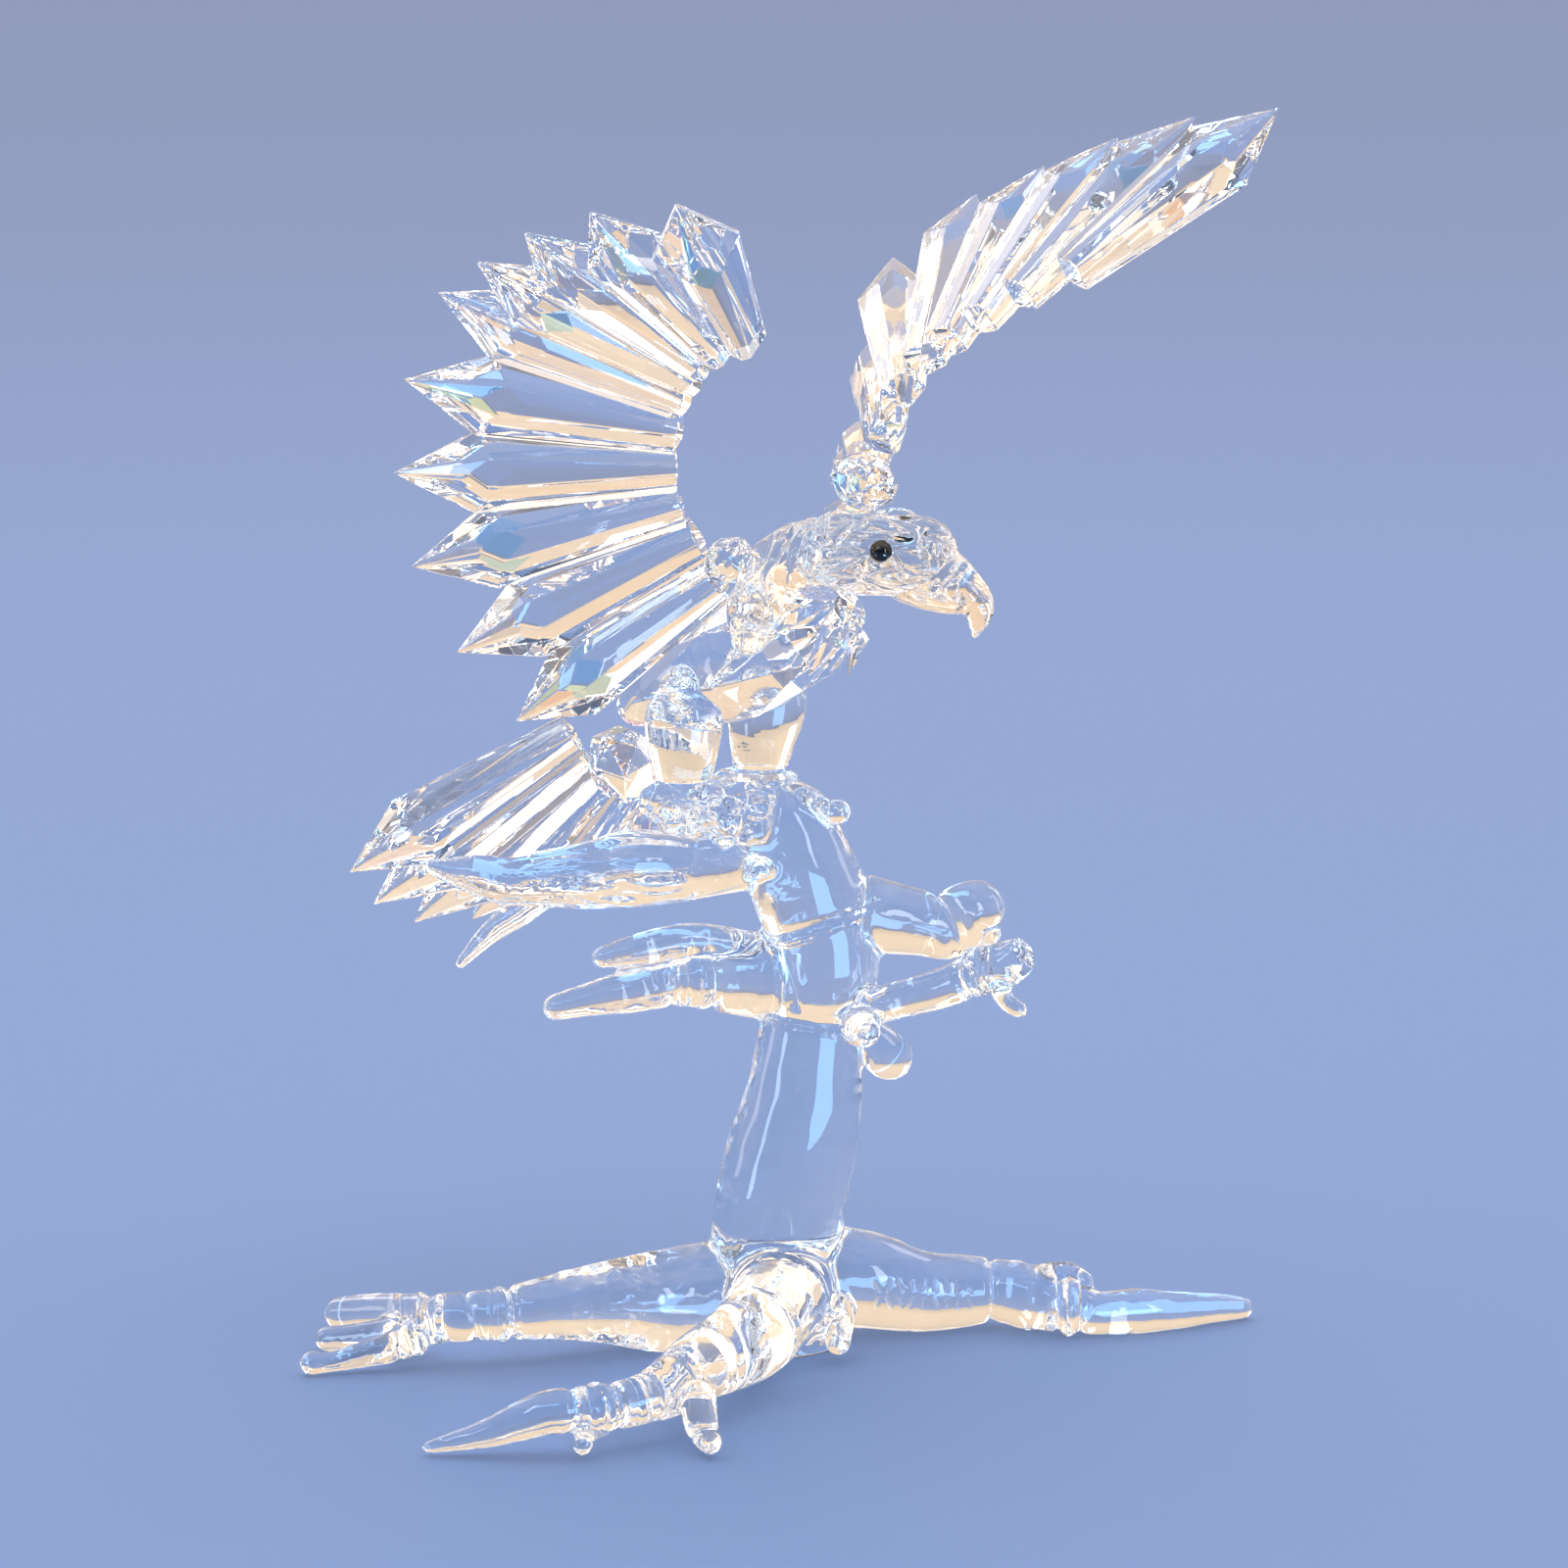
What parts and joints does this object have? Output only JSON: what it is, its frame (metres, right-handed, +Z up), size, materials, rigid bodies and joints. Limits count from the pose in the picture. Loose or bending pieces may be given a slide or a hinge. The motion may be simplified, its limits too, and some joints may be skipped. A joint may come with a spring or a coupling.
{
  "type": "crystal eagle figurine",
  "caption": "Clear glass figurine of an eagle with raised wings of cut spear prisms, perched on a lampworked glass tree with spread roots.",
  "frame": {"origin": "on the floor, inside the flat foot of the trunk", "axes": "+Z up; the picture looks along +Y, with +X to its right; the bird faces between +X and -Y"},
  "size_m": [0.1424, 0.1614, 0.1826],
  "materials": {
    "cut_crystal": "polished cut facets, clear, faint colour fire",
    "lampworked_glass": "clear fire-polished rod with soft flow marks",
    "black_glass": "opaque black, glossy"
  },
  "bodies": {
    "root": {"body": "cut_crystal", "tail_stone": "cut_crystal", "near_shoulder_stone": "cut_crystal", "far_shoulder_stone": "cut_crystal", "tree": "lampworked_glass", "near_thigh": "lampworked_glass", "far_thigh": "lampworked_glass", "head": "lampworked_glass", "near_eye": "black_glass", "far_eye": "black_glass", "near_wing_prism_01": "cut_crystal", "near_wing_prism_02": "cut_crystal", "near_wing_prism_03": "cut_crystal", "near_wing_prism_04": "cut_crystal", "near_wing_prism_05": "cut_crystal", "near_wing_prism_06": "cut_crystal", "near_wing_prism_07": "cut_crystal", "near_wing_prism_08": "cut_crystal", "near_wing_prism_09": "cut_crystal", "near_wing_prism_10": "cut_crystal", "far_wing_prism_01": "cut_crystal", "far_wing_prism_02": "cut_crystal", "far_wing_prism_03": "cut_crystal", "far_wing_prism_04": "cut_crystal", "far_wing_prism_05": "cut_crystal", "far_wing_prism_06": "cut_crystal", "far_wing_prism_07": "cut_crystal", "far_wing_prism_08": "cut_crystal", "far_wing_prism_09": "cut_crystal", "far_wing_prism_10": "cut_crystal", "tail_prism_01": "cut_crystal", "tail_prism_02": "cut_crystal", "tail_prism_03": "cut_crystal", "tail_prism_04": "cut_crystal", "tail_prism_05": "cut_crystal", "tail_prism_06": "cut_crystal"}
  },
  "joints": []
}
